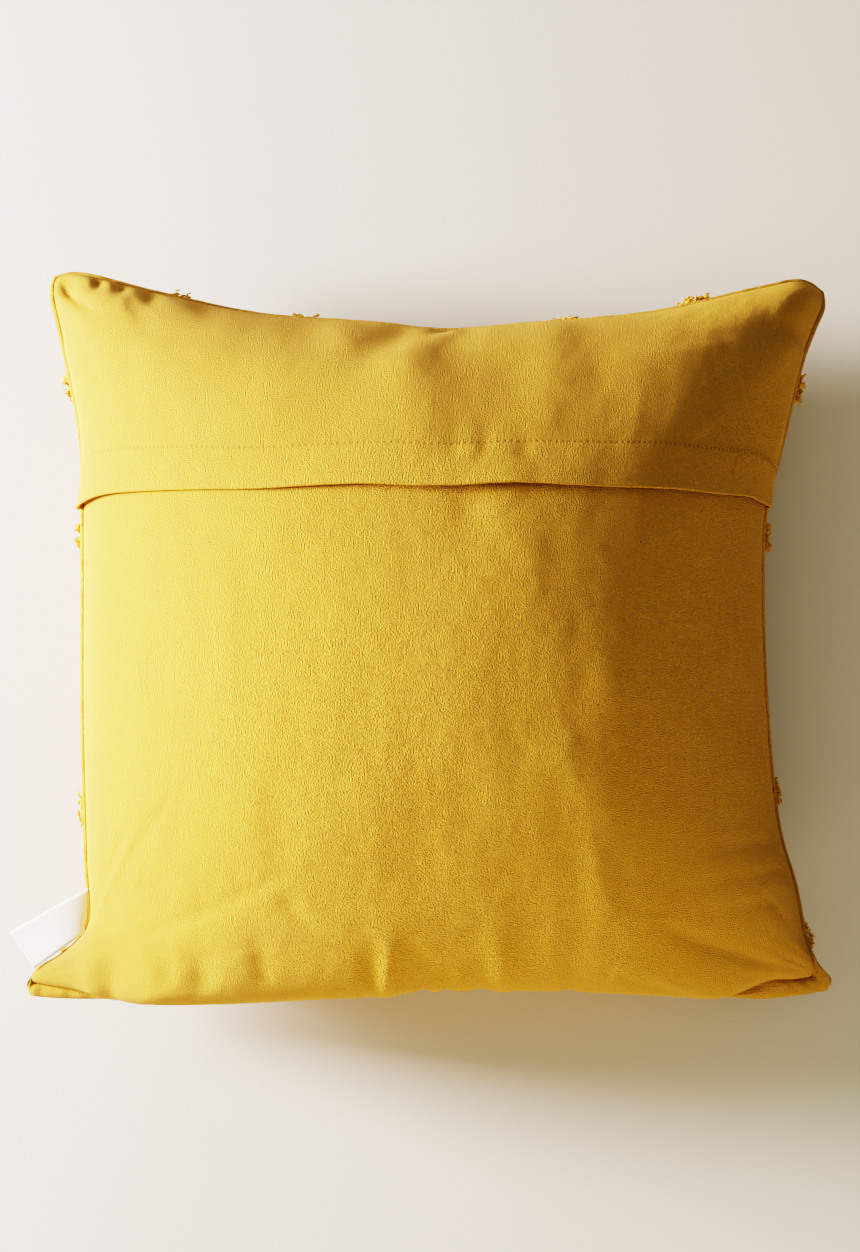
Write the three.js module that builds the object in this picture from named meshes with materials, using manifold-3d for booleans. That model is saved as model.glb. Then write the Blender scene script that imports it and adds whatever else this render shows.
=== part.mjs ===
// A square throw cushion in plain cotton, lying on its tufted front with its envelope back up.
// +X is the back's right side, +Y its top edge and +Z points out of the back. Units are millimetres.

import * as THREE from 'three';
import { mergeVertices } from 'three/addons/utils/BufferGeometryUtils.js';
import Module from 'manifold-3d';

const wasm = await Module();
wasm.setup();

// Driving dimensions
const BACK_CROWN = 71;        // height of the back above the seam's own surface, at the middle
const FRONT_CROWN = 88;       // depth of the front below it, before the surface it lies on flattens it
const CROWN_FLATNESS = 2.2;   // how broad the crown's top is
const CROWN_EDGE = 0.52;      // how fast it rises from the seam: less is steeper
const REST_BLEND = 5;         // how softly the front turns into the flat patch it rests on
const ROLL_WIDTH = 3;         // the front cloth rolls this far over the seam to the back
const ROLL_RISE = 1.5;        // and rises this far over it
const BELLY_REACH = 22;       // the back bulges over the bottom seam
const BELLY_SPAN = 14;        // distance from the bottom seam at which it bulges most
const BELLY_SIDES = 2.5;      // how late the bulge fades towards the two bottom ears
const FOLD_FADE = 24;         // the folds fade out over this distance from a seam
const HALF_WIDTH = 210;       // half of the cushion's mean width, from seam to seam
const CLOTH = 1.5;            // thickness of one sheet
const HEM_CLOTH = 2.5;        // thickness of the doubled hem
const CLEARANCE = 0.4;        // between a sheet and what it lies on
const GRID_STEPS = 28;        // grid cells from seam to seam
const GRID_EVENNESS = 0.55;   // 1 is an even grid, less crowds the lines towards the seams
const BOW = 0.085;            // the crosswise lines bow up in the middle, as the drawn-in top pulls them

// Places along the cushion's height, from -1 at the bottom seam to 1 at the top seam
const FLAP_EDGE = 0.34;
const FLAP_STITCH = 0.465;
const LOWER_PANEL_EDGE = 0.77;

const YELLOW = { color: 0xe0b030, roughness: 0.95, metalness: 0 };
const YARN = { color: 0xd9a528, roughness: 1, metalness: 0 };
const WHITE = { color: 0xf2f0ec, roughness: 0.7, metalness: 0 };

// The seam, seen from the back: each side runs from ear to ear, drawn in between them
const EARS = {
  bottomLeft: { x: -227.5, y: -202, z: 38 },
  bottomRight: { x: 226, y: -199, z: 38 },
  topLeft: { x: -222.5, y: 219, z: 50 },
  topRight: { x: 232, y: 209.5, z: 50 },
};
const SEAM_BOTTOM = [
  { x: -190, y: -203, z: 40 },
  { x: -140, y: -200, z: 45 },
  { x: -60, y: -192, z: 47 },
  { x: -25, y: -190, z: 47 },
  { x: 8, y: -187, z: 47 },
  { x: 60, y: -187, z: 47 },
  { x: 130, y: -194, z: 46 },
  { x: 180, y: -203, z: 42 },
];
const SEAM_TOP = [
  { x: -208, y: 221, z: 51 },
  { x: -160, y: 208, z: 56 },
  { x: -100, y: 194, z: 59 },
  { x: -30, y: 188, z: 60 },
  { x: 8, y: 184, z: 60 },
  { x: 60, y: 188, z: 60 },
  { x: 130, y: 195, z: 59 },
  { x: 190, y: 210, z: 56 },
  { x: 219, y: 216, z: 52 },
];
const SEAM_LEFT = [
  { x: -228.5, y: -194, z: 41 },
  { x: -210, y: -179, z: 44 },
  { x: -195.5, y: -163, z: 50 },
  { x: -196, y: -125, z: 56 },
  { x: -199, y: -45, z: 60 },
  { x: -201, y: 50, z: 60 },
  { x: -204, y: 120, z: 58 },
  { x: -217, y: 180, z: 53 },
  { x: -223.5, y: 208, z: 51 },
];
const SEAM_RIGHT = [
  { x: 228, y: -192.5, z: 40 },
  { x: 220, y: -183, z: 44 },
  { x: 214.5, y: -171, z: 47 },
  { x: 208, y: -140, z: 53 },
  { x: 199, y: -108, z: 57 },
  { x: 193, y: -40, z: 60 },
  { x: 192, y: 30, z: 60 },
  { x: 194, y: 70, z: 60 },
  { x: 204, y: 110, z: 58 },
  { x: 219, y: 167, z: 54 },
  { x: 226, y: 185, z: 53 },
  { x: 232, y: 199, z: 51 },
];

// Main folds of the back, each a soft trough from one place to another; a negative depth is a ridge
const FOLDS = [
  { fromX: 12, fromY: 186, toX: -9, toY: 162, reach: 9, depth: 4 },
  { fromX: 30, fromY: 184, toX: 8, toY: 158, reach: 10, depth: -2 },
  { fromX: -208, fromY: 204, toX: -172, toY: 166, reach: 9, depth: 3 },
  { fromX: -176, fromY: 210, toX: -158, toY: 188, reach: 8, depth: 3 },
  { fromX: 218, fromY: 203, toX: 164, toY: 148, reach: 12, depth: -3 },
  { fromX: 184, fromY: 168, toX: 152, toY: 128, reach: 11, depth: 3 },
  { fromX: 5, fromY: -200, toX: 5, toY: -176, reach: 10, depth: 4 },
  { fromX: -76, fromY: -168, toX: -54, toY: -186, reach: 9, depth: 2 },
  { fromX: 35, fromY: -200, toX: 36, toY: -186, reach: 9, depth: 2 },
  { fromX: -20, fromY: -200, toX: -24, toY: -182, reach: 10, depth: -2 },
];

// Side label, sewn in the left seam
const LABEL = {
  rootY: [-141, -166],
  tip: [{ x: -237, y: -165.5, z: 49 }, { x: -223.5, y: -186.5, z: 47 }],
  inset: 0.8,       // its root lies this far inside the rim
  thickness: 1,
  steps: 6,
  arch: 2.5,
};

// Tufts: columns and rows of the grid on the front; the edge ones sit just under the seam
const TUFT_COLUMNS = [-0.965, -0.667, -0.333, 0, 0.333, 0.667, 0.965];
const TUFT_ROWS = [-0.965, -0.84, -0.44, -0.1, 0.275, 0.7, 0.965];
const MIDDLE = 3;
const LAST = 6;
const TUFT = {
  gap: 0.4,
  backingRadius: 4.6,
  backingHeight: 2,
  strands: 6,
  strandLength: 9,
  spread: 4.5,          // how far a strand's tip leans out
  clumpSpread: 2.5,     // how far the two clumps of three lean apart
  tipShare: 0.6,        // a tip's width, as a share of its root's
  levels: [0.5, 1],     // shares of a strand's length at which it has a ring of corners
  floorClearance: 0.05,
};
const SEAT_SAMPLES = 16;
const SEAT_RINGS = [0.4, 0.7, 1, 1.3];
const FACING_DOWN = 0.3;
const DIMPLE = { start: -1, depth: 8, clearBelow: 22, floorRadius: 9, mouthRadius: 20, sides: 14 };

const LEAST_FACING = 0.5;      // a crease stretches the normals at its points to twice their length at most
const MERGE_DISTANCE = 1e-4;   // corners closer than this are one
const HALVINGS = 30;           // steps of the search for a height along the left seam

const clamp = (value, low, high) => Math.min(high, Math.max(low, value));

// A smooth side of the seam through its stations, from one ear to the other
function seamSide(start, stations, end) {
  const points = [start, ...stations, end].map(({ x, y, z }) => new THREE.Vector3(x, y, z));
  const curve = new THREE.CatmullRomCurve3(points, false, 'centripetal');
  return (along) => curve.getPointAt(clamp((along + 1) / 2, 0, 1));
}

const seam = {
  bottom: seamSide(EARS.bottomLeft, SEAM_BOTTOM, EARS.bottomRight),
  top: seamSide(EARS.topLeft, SEAM_TOP, EARS.topRight),
  left: seamSide(EARS.bottomLeft, SEAM_LEFT, EARS.topLeft),
  right: seamSide(EARS.bottomRight, SEAM_RIGHT, EARS.topRight),
};

// The smooth sheet that spans the four seam sides (a Coons patch); u and v run from -1 to 1
function seamSheet(u, v) {
  const right = (u + 1) / 2;
  const top = (v + 1) / 2;
  const point = new THREE.Vector3();
  point.addScaledVector(seam.bottom(u), 1 - top).addScaledVector(seam.top(u), top);
  point.addScaledVector(seam.left(v), 1 - right).addScaledVector(seam.right(v), right);
  const ears = [
    [EARS.bottomLeft, (1 - right) * (1 - top)],
    [EARS.bottomRight, right * (1 - top)],
    [EARS.topLeft, (1 - right) * top],
    [EARS.topRight, right * top],
  ];
  for (const [ear, share] of ears) {
    point.sub(new THREE.Vector3(ear.x, ear.y, ear.z).multiplyScalar(share));
  }
  return point;
}

// 0 at the seams and 1 at the middle
function crown(u, v) {
  const acrossU = 1 - Math.min(1, Math.abs(u)) ** CROWN_FLATNESS;
  const acrossV = 1 - Math.min(1, Math.abs(v)) ** CROWN_FLATNESS;
  return (acrossU * acrossV) ** CROWN_EDGE;
}

// Grid lines from rim to rim: the rim, the seam line, then lines that crowd towards the seams
const SEAM_LINE = 1 - ROLL_WIDTH / HALF_WIDTH;
function gridLines(fixedPlaces) {
  const lines = [-1];
  for (let step = 0; step <= GRID_STEPS; step += 1) {
    const even = (2 * step) / GRID_STEPS - 1;
    const crowded = Math.sin((even * Math.PI) / 2);
    lines.push(SEAM_LINE * THREE.MathUtils.lerp(crowded, even, GRID_EVENNESS));
  }
  lines.push(1);
  for (const place of fixedPlaces) {
    lines[nearestLine(lines, place)] = place;
  }
  return lines;
}

function nearestLine(lines, place) {
  const distances = lines.map((line) => Math.abs(line - place));
  return distances.indexOf(Math.min(...distances));
}

const U_LINES = gridLines([]);
const V_LINES = gridLines([FLAP_EDGE, FLAP_STITCH, LOWER_PANEL_EDGE]);
const LAST_U = U_LINES.length - 1;
const LAST_V = V_LINES.length - 1;

const bowed = (u, v) => v + BOW * (1 - u * u) * (1 - v * v);

// Depth of the folds at a place on the back
function foldDepth(point) {
  let depth = 0;
  for (const fold of FOLDS) {
    const from = new THREE.Vector3(fold.fromX, fold.fromY, 0);
    const line = new THREE.Line3(from, new THREE.Vector3(fold.toX, fold.toY, 0));
    const flat = new THREE.Vector3(point.x, point.y, 0);
    const nearest = line.closestPointToPoint(flat, true, new THREE.Vector3());
    depth += fold.depth * Math.exp(-((nearest.distanceTo(flat) / fold.reach) ** 2));
  }
  return depth;
}

// The back before its folds: rolled edge, crown and the belly over the bottom seam
function plainBack(u, line) {
  const v = bowed(u, line);
  const point = seamSheet(u, v);
  const fromRim = 1 - Math.max(Math.abs(u), Math.abs(line));
  const roll = ROLL_RISE * clamp(fromRim / (1 - SEAM_LINE), 0, 1);
  point.z += roll + BACK_CROWN * crown(u / SEAM_LINE, v / SEAM_LINE);
  const fromBottom = ((1 + line) * HALF_WIDTH) / BELLY_SPAN;
  const fade = 1 - Math.abs(u) ** BELLY_SIDES;
  point.y -= BELLY_REACH * fromBottom * Math.exp(1 - fromBottom) * fade;
  return point;
}

// The front, flattened to exactly z = 0 where the cushion rests
function front(u, line) {
  const v = bowed(u, line);
  const point = seamSheet(u, v);
  const height = point.z - FRONT_CROWN * crown(u, v);
  const blended = (height + REST_BLEND) ** 2 / (4 * REST_BLEND);
  point.z = Math.abs(height) < REST_BLEND ? blended : Math.max(0, height);
  return point;
}

// A grid of points over the cushion, indexed [column][row]
function pointGrid(pointAt) {
  return U_LINES.map((u) => V_LINES.map((v) => pointAt(u, v)));
}

// A surface of the grid, whose cells are split the same way everywhere
function gridTriangles(grid, columns, rows, upwards) {
  const triangles = [];
  for (let i = columns[0]; i < columns[1]; i += 1) {
    for (let j = rows[0]; j < rows[1]; j += 1) {
      const corners = [grid[i][j], grid[i + 1][j], grid[i + 1][j + 1], grid[i][j + 1]];
      const [a, b, c, d] = corners;
      triangles.push(...(upwards ? [[a, b, c], [a, c, d]] : [[a, c, b], [a, d, c]]));
    }
  }
  return triangles;
}

function closedGeometry(triangles) {
  const positions = triangles.flatMap((corners) => corners.flatMap((point) => point.toArray()));
  const geometry = new THREE.BufferGeometry();
  geometry.setAttribute('position', new THREE.Float32BufferAttribute(positions, 3));
  return mergeVertices(geometry, MERGE_DISTANCE);
}

// The mean of the unit normals of the cells around each grid point, stretched at creases
// so that an offset along it keeps its distance from every cell
function gridNormals(grid) {
  const normalOf = (a, b, c) => new THREE.Triangle(a, b, c).getNormal(new THREE.Vector3());
  return grid.map((column, i) => column.map((point, j) => {
    const around = [];
    for (const [di, dj] of [[0, 0], [-1, 0], [-1, -1], [0, -1]]) {
      const ci = i + di;
      const cj = j + dj;
      if (ci >= 0 && cj >= 0 && ci < LAST_U && cj < LAST_V) {
        const [a, b, c, d] = [grid[ci][cj], grid[ci + 1][cj], grid[ci + 1][cj + 1], grid[ci][cj + 1]];
        around.push(normalOf(a, b, c), normalOf(a, c, d));
      }
    }
    const mean = around.reduce((sum, normal) => sum.add(normal), new THREE.Vector3()).normalize();
    const least = Math.min(...around.map((normal) => normal.dot(mean)));
    return mean.divideScalar(Math.max(least, LEAST_FACING));
  }));
}

function addMesh(parent, name, geometry, look) {
  const mesh = new THREE.Mesh(geometry, new THREE.MeshStandardMaterial(look));
  mesh.name = name;
  parent.add(mesh);
  return mesh;
}

function toSolid(geometry) {
  const bare = geometry.clone();
  bare.deleteAttribute('normal');
  bare.deleteAttribute('uv');
  const merged = mergeVertices(bare, MERGE_DISTANCE);
  return new wasm.Manifold(new wasm.Mesh({
    numProp: 3,
    vertProperties: new Float32Array(merged.attributes.position.array),
    triVerts: new Uint32Array(merged.index.array),
  }));
}

function fromSolid(solid) {
  const { vertProperties, triVerts } = solid.getMesh();
  const geometry = new THREE.BufferGeometry();
  geometry.setAttribute('position', new THREE.Float32BufferAttribute(vertProperties, 3));
  geometry.setIndex(Array.from(triVerts));
  return geometry;
}

const smoothBack = pointGrid(plainBack);
const smoothNormals = gridNormals(smoothBack);
const back = smoothBack.map((column, i) => column.map((point, j) => {
  const fromSeam = SEAM_LINE - Math.max(Math.abs(U_LINES[i]), Math.abs(V_LINES[j]));
  const depth = foldDepth(point) * clamp((fromSeam * HALF_WIDTH) / FOLD_FADE, 0, 1);
  return point.clone().addScaledVector(smoothNormals[i][j].clone().normalize(), -depth);
}));
const backNormals = gridNormals(back);
const frontGrid = pointGrid(front);
for (const [i, column] of frontGrid.entries()) {
  for (const [j, point] of column.entries()) {
    if (i === 0 || j === 0 || i === LAST_U || j === LAST_V) {
      point.copy(back[i][j]);
    }
  }
}

// The front's point and outward normal at a place, on the facet that holds it
function frontFacet(u, v) {
  const i = clamp(U_LINES.findLastIndex((line) => line <= u), 0, LAST_U - 1);
  const j = clamp(V_LINES.findLastIndex((line) => line <= v), 0, LAST_V - 1);
  const alongU = (u - U_LINES[i]) / (U_LINES[i + 1] - U_LINES[i]);
  const alongV = (v - V_LINES[j]) / (V_LINES[j + 1] - V_LINES[j]);
  const [a, b, c, d] = [
    frontGrid[i][j], frontGrid[i + 1][j], frontGrid[i + 1][j + 1], frontGrid[i][j + 1],
  ];
  const lower = alongU >= alongV;
  const point = new THREE.Vector3();
  if (lower) {
    point.addScaledVector(a, 1 - alongU).addScaledVector(b, alongU - alongV).addScaledVector(c, alongV);
  } else {
    point.addScaledVector(a, 1 - alongV).addScaledVector(c, alongU).addScaledVector(d, alongV - alongU);
  }
  const corners = lower ? [a, c, b] : [a, d, c];
  const normal = new THREE.Triangle(...corners).getNormal(new THREE.Vector3());
  return { point, normal };
}

// The plane that a tuft's backing lies on: the mean facet around a place, raised clear of them all
function frontSeat(u, v) {
  const { point, normal } = frontFacet(u, v);
  const around = [];
  for (const share of SEAT_RINGS) {
    const reach = (share * TUFT.backingRadius) / HALF_WIDTH;
    for (let step = 0; step < SEAT_SAMPLES; step += 1) {
      const angle = (step * 2 * Math.PI) / SEAT_SAMPLES;
      around.push(frontFacet(
        clamp(u + reach * Math.cos(angle), -1, 1),
        clamp(v + reach * Math.sin(angle), -1, 1),
      ));
    }
  }
  for (const sample of around) {
    normal.add(sample.normal);
  }
  normal.normalize();
  const proud = around.map((sample) => sample.point.clone().sub(point).dot(normal));
  point.addScaledVector(normal, Math.max(0, ...proud));
  return { point, normal };
}

const cushion = new THREE.Group();

// Every tuft's column, row, place and normal, and whether it sits in a dimple over the resting patch
const tufts = [];
for (const [column, u] of TUFT_COLUMNS.entries()) {
  for (const [row, v] of TUFT_ROWS.entries()) {
    const atSide = column === 0 || column === LAST;
    const atEnd = row === 0 || row === LAST;
    const bare = (atSide && (atEnd || row === MIDDLE)) || (atEnd && column === MIDDLE);
    if (!bare) {
      const { point, normal } = frontSeat(u, v);
      const dimpled = point.z < DIMPLE.clearBelow;
      if (point.z < DIMPLE.depth) {
        point.z = DIMPLE.depth;
        normal.set(0, 0, -1);
      }
      tufts.push({ column, row, point, normal, dimpled });
    }
  }
}

// Filled body with the front panel's cloth, dimpled where a tuft's yarn needs room above the surface
function bodyGeometry() {
  const all = [0, LAST_U];
  const ends = [0, LAST_V];
  const shell = closedGeometry([
    ...gridTriangles(back, all, ends, true),
    ...gridTriangles(frontGrid, all, ends, false),
  ]);
  let solid = toSolid(shell);
  const profile = [
    new THREE.Vector2(0, DIMPLE.start),
    new THREE.Vector2(DIMPLE.mouthRadius, DIMPLE.start),
    new THREE.Vector2(DIMPLE.mouthRadius, 0),
    new THREE.Vector2(DIMPLE.floorRadius, DIMPLE.depth),
    new THREE.Vector2(0, DIMPLE.depth),
  ];
  for (const tuft of tufts.filter(({ dimpled }) => dimpled)) {
    const cutter = new THREE.LatheGeometry(profile, DIMPLE.sides);
    cutter.rotateX(Math.PI / 2);
    cutter.translate(tuft.point.x, tuft.point.y, 0);
    solid = solid.subtract(toSolid(cutter));
  }
  return fromSolid(solid);
}
addMesh(cushion, 'cushion_body', bodyGeometry(), YELLOW);

// A sheet over part of the back. layersAt(v) gives the gaps and the cloth that lie under it, and its own
// thickness. The gaps follow the stretched normals, so that they stay open along the seam's crease.
function sheetGeometry(columns, rows, layersAt) {
  const offsetGrid = (clothAt) => back.map((column, i) => column.map((point, j) => {
    const { gaps } = layersAt(V_LINES[j]);
    const stretched = backNormals[i][j];
    return point.clone()
      .addScaledVector(stretched, gaps * CLEARANCE)
      .addScaledVector(stretched.clone().normalize(), clothAt(V_LINES[j]));
  }));
  const under = offsetGrid((v) => layersAt(v).clothUnder);
  const over = offsetGrid((v) => layersAt(v).clothUnder + layersAt(v).thickness);
  const triangles = [
    ...gridTriangles(over, columns, rows, true),
    ...gridTriangles(under, columns, rows, false),
  ];
  const wall = (i0, j0, i1, j1) => {
    const [a, b, c, d] = [under[i0][j0], under[i1][j1], over[i1][j1], over[i0][j0]];
    triangles.push([a, b, c], [a, c, d]);
  };
  for (let i = columns[0]; i < columns[1]; i += 1) {
    wall(i, rows[0], i + 1, rows[0]);
    wall(i + 1, rows[1], i, rows[1]);
  }
  for (let j = rows[0]; j < rows[1]; j += 1) {
    wall(columns[1], j, columns[1], j + 1);
    wall(columns[0], j + 1, columns[0], j);
  }
  return closedGeometry(triangles);
}

const flapEdgeRow = nearestLine(V_LINES, FLAP_EDGE);
const lowerEdgeRow = nearestLine(V_LINES, LOWER_PANEL_EDGE);
const acrossSeams = [1, LAST_U - 1];

const lowerPanel = sheetGeometry(acrossSeams, [1, lowerEdgeRow], () => (
  { gaps: 1, clothUnder: 0, thickness: CLOTH }
));
addMesh(cushion, 'lower_back_panel', lowerPanel, YELLOW);

// The flap laps over the lower panel, and its hem is doubled up to the row of stitches
const flap = sheetGeometry(acrossSeams, [flapEdgeRow, LAST_V - 1], (v) => {
  const thickness = v < FLAP_STITCH ? HEM_CLOTH : CLOTH;
  const overLowerPanel = v <= V_LINES[lowerEdgeRow + 1];
  return overLowerPanel ? { gaps: 2, clothUnder: CLOTH, thickness } : { gaps: 1, clothUnder: 0, thickness };
});
addMesh(cushion, 'upper_back_panel', flap, YELLOW);

// The point of the left seam at a height in Y
function leftSeamAt(y) {
  let [low, high] = [-1, 1];
  for (let halving = 0; halving < HALVINGS; halving += 1) {
    const middle = (low + high) / 2;
    [low, high] = seam.left(middle).y < y ? [middle, high] : [low, middle];
  }
  return seam.left((low + high) / 2);
}

// Label: a thin strip that leaves the seam over the rolled edge and leans towards the ear
function labelGeometry() {
  const onRoll = ROLL_RISE * (LABEL.inset / ROLL_WIDTH) + CLEARANCE;
  const roots = LABEL.rootY.map((y) => leftSeamAt(y).add(new THREE.Vector3(LABEL.inset, 0, onRoll)));
  const column = [];
  for (let step = 0; step <= LABEL.steps; step += 1) {
    const out = step / LABEL.steps;
    const rise = LABEL.arch * Math.sin(Math.PI * out);
    column.push(roots.map((root, side) => {
      const { x, y, z } = LABEL.tip[side];
      const place = root.clone().lerp(new THREE.Vector3(x, y, z), out);
      place.z += rise;
      return place;
    }));
  }
  const raised = column.map((pair) => pair.map((point) => (
    point.clone().add(new THREE.Vector3(0, 0, LABEL.thickness))
  )));
  const triangles = [];
  const quad = (a, b, c, d) => triangles.push([a, b, c], [a, c, d]);
  for (let step = 0; step < LABEL.steps; step += 1) {
    const [[a, b], [d, c]] = [column[step], column[step + 1]];
    const [[e, f], [h, g]] = [raised[step], raised[step + 1]];
    quad(a, b, c, d);
    quad(e, h, g, f);
    quad(b, f, g, c);
    quad(a, d, h, e);
  }
  const [[a, b], [e, f]] = [column[0], raised[0]];
  quad(a, e, f, b);
  const [[c, d], [g, h]] = [column[LABEL.steps], raised[LABEL.steps]];
  quad(c, d, h, g);
  return closedGeometry(triangles);
}

addMesh(cushion, 'side_label', labelGeometry(), WHITE);

// A tuft: a six-sided backing on the front panel, whose top fans out into six three-sided strands.
// Neighbouring strands share an edge at their roots and stand apart above it.
function tuftGeometry({ point, normal, column, row }) {
  const seat = point.clone().addScaledVector(normal, TUFT.gap);
  const sideways = new THREE.Vector3(-normal.y, normal.x, 0);
  if (sideways.length() < FACING_DOWN) {
    sideways.set(1, 0, 0);
  }
  const across = normal.clone().cross(sideways).normalize();
  sideways.crossVectors(across, normal);
  const turn = column + row;
  const around = (index, radius, height) => {
    const angle = turn + (index * 2 * Math.PI) / TUFT.strands;
    return seat.clone()
      .addScaledVector(sideways, radius * Math.cos(angle))
      .addScaledVector(across, radius * Math.sin(angle))
      .addScaledVector(normal, height);
  };
  const underMiddle = seat.clone();
  const topMiddle = around(0, 0, TUFT.backingHeight);
  const triangles = [];
  const wall = (a, b, c, d) => triangles.push([a, b, c], [a, c, d]);
  for (let index = 0; index < TUFT.strands; index += 1) {
    const next = index + 1 < TUFT.strands ? index + 1 : 0;
    const low = [around(index, TUFT.backingRadius, 0), around(next, TUFT.backingRadius, 0)];
    const high = [around(index, TUFT.backingRadius, TUFT.backingHeight)];
    high.push(around(next, TUFT.backingRadius, TUFT.backingHeight));
    triangles.push([underMiddle, low[1], low[0]]);
    wall(low[0], low[1], high[1], high[0]);

    const root = [topMiddle, high[0], high[1]];
    const rootMiddle = root[0].clone().add(root[1]).add(root[2]).divideScalar(3);
    const outward = rootMiddle.clone().sub(topMiddle).normalize();
    const clump = Math.sign(outward.dot(sideways));
    const lean = outward.multiplyScalar(TUFT.spread).addScaledVector(sideways, clump * TUFT.clumpSpread);
    const room = (rootMiddle.z - TUFT.floorClearance) / Math.max(-normal.z, FACING_DOWN);
    const length = Math.min(TUFT.strandLength, room);
    const rings = [root, ...TUFT.levels.map((out) => root.map((corner) => {
      const width = THREE.MathUtils.lerp(1, TUFT.tipShare, out);
      const place = rootMiddle.clone().lerp(corner, width);
      place.addScaledVector(normal, length * out).addScaledVector(lean, out);
      place.z = Math.max(place.z, TUFT.floorClearance);
      return place;
    }))];
    for (const [level, ring] of rings.slice(0, -1).entries()) {
      const above = rings[level + 1];
      for (const [corner, other] of [[0, 1], [1, 2], [2, 0]]) {
        wall(ring[corner], ring[other], above[other], above[corner]);
      }
    }
    triangles.push(rings[rings.length - 1]);
  }
  return closedGeometry(triangles);
}
for (const tuft of tufts) {
  addMesh(cushion, `tuft_${tuft.column}_${tuft.row}`, tuftGeometry(tuft), YARN);
}

// The origin goes to the middle of the bounding box's bottom
const box = new THREE.Box3().setFromObject(cushion);
const middle = box.getCenter(new THREE.Vector3());
cushion.position.set(-middle.x, -middle.y, -box.min.z);

export default cushion;
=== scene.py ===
import bpy
import numpy as np
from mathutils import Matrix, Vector


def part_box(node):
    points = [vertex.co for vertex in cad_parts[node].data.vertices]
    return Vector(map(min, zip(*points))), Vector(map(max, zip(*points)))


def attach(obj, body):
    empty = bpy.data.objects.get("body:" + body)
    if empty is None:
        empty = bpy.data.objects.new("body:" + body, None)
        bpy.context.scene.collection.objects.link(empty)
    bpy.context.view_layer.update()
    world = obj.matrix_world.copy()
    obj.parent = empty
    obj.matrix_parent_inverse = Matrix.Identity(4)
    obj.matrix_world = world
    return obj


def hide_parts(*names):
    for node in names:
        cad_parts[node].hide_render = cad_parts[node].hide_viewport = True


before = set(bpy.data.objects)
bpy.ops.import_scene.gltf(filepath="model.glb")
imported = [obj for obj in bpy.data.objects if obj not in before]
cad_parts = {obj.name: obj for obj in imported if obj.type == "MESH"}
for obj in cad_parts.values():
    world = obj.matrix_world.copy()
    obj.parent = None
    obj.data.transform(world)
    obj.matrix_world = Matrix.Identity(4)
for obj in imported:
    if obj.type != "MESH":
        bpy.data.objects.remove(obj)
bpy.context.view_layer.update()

# Seam: two square panels of cotton, sewn together round their edges and turned out. The filling draws
# each side in between its two ears, so the seam is a curve in space through stations that follow the
# cushion's outline. Stations are x, y and z in millimetres, seen from the back.
MM = 0.001
EARS = {
    "bottom_left": (-227.5, -202, 38),
    "bottom_right": (226, -199, 38),
    "top_left": (-222.5, 219, 50),
    "top_right": (232, 209.5, 50),
}
SEAM_STATIONS = {
    "bottom": [
        (-190, -203, 40), (-140, -200, 45), (-60, -192, 47), (-25, -190, 47), (8, -187, 47),
        (60, -187, 47), (130, -194, 46), (180, -203, 42),
    ],
    "top": [
        (-208, 221, 51), (-160, 208, 56), (-100, 194, 59), (-30, 188, 60), (8, 184, 60),
        (60, 188, 60), (130, 195, 59), (190, 210, 56), (219, 216, 52),
    ],
    "left": [
        (-228.5, -194, 41), (-210, -179, 44), (-195.5, -163, 50), (-196, -125, 56),
        (-199, -45, 60), (-201, 50, 60), (-204, 120, 58), (-217, 180, 53), (-223.5, 208, 51),
    ],
    "right": [
        (228, -192.5, 40), (220, -183, 44), (214.5, -171, 47), (208, -140, 53), (199, -108, 57),
        (193, -40, 60), (192, 30, 60), (194, 70, 60), (204, 110, 58), (219, 167, 54),
        (226, 185, 53), (232, 199, 51),
    ],
}
SEAM_ENDS = {
    "bottom": ("bottom_left", "bottom_right"),
    "top": ("top_left", "top_right"),
    "left": ("bottom_left", "top_left"),
    "right": ("bottom_right", "top_right"),
}
STEPS_A_STRETCH = 40


def side_curve(stations):
    """A smooth side of the seam, as a function of the share of its length.

    Between two stations it is a cubic whose end slopes weigh the chords around each station by the
    square roots of their lengths (a centripetal Catmull-Rom curve).
    """
    p = np.array(stations, float) * MM
    p = np.vstack([2 * p[0] - p[1], p, 2 * p[-1] - p[-2]])
    root = np.sqrt(np.linalg.norm(np.diff(p, axis=0), axis=1))[:, None]
    d0, d1, d2 = root[:-2], root[1:-1], root[2:]
    p0, p1, p2, p3 = p[:-3], p[1:-2], p[2:-1], p[3:]
    start = d1 * ((p1 - p0) / d0 - (p2 - p0) / (d0 + d1) + (p2 - p1) / d1)
    end = d1 * ((p2 - p1) / d1 - (p3 - p1) / (d1 + d2) + (p3 - p2) / d2)
    t = np.linspace(0, 1, STEPS_A_STRETCH)[None, :, None]
    square = 3 * (p2 - p1) - 2 * start - end
    cube = 2 * (p1 - p2) + start + end
    line = p1[:, None] + start[:, None] * t + square[:, None] * t**2 + cube[:, None] * t**3
    line = line.reshape(-1, 3)
    length = np.cumsum(np.linalg.norm(np.diff(line, axis=0, prepend=line[:1]), axis=1))
    return lambda share: np.stack(
        [np.interp(share, length / length[-1], line[:, axis]) for axis in range(3)], axis=-1
    )


seam = {
    side: side_curve([EARS[SEAM_ENDS[side][0]], *stations, EARS[SEAM_ENDS[side][1]]])
    for side, stations in SEAM_STATIONS.items()
}

EAR_ROUNDING = 0.005
EAR_SHARPNESS = 30


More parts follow.
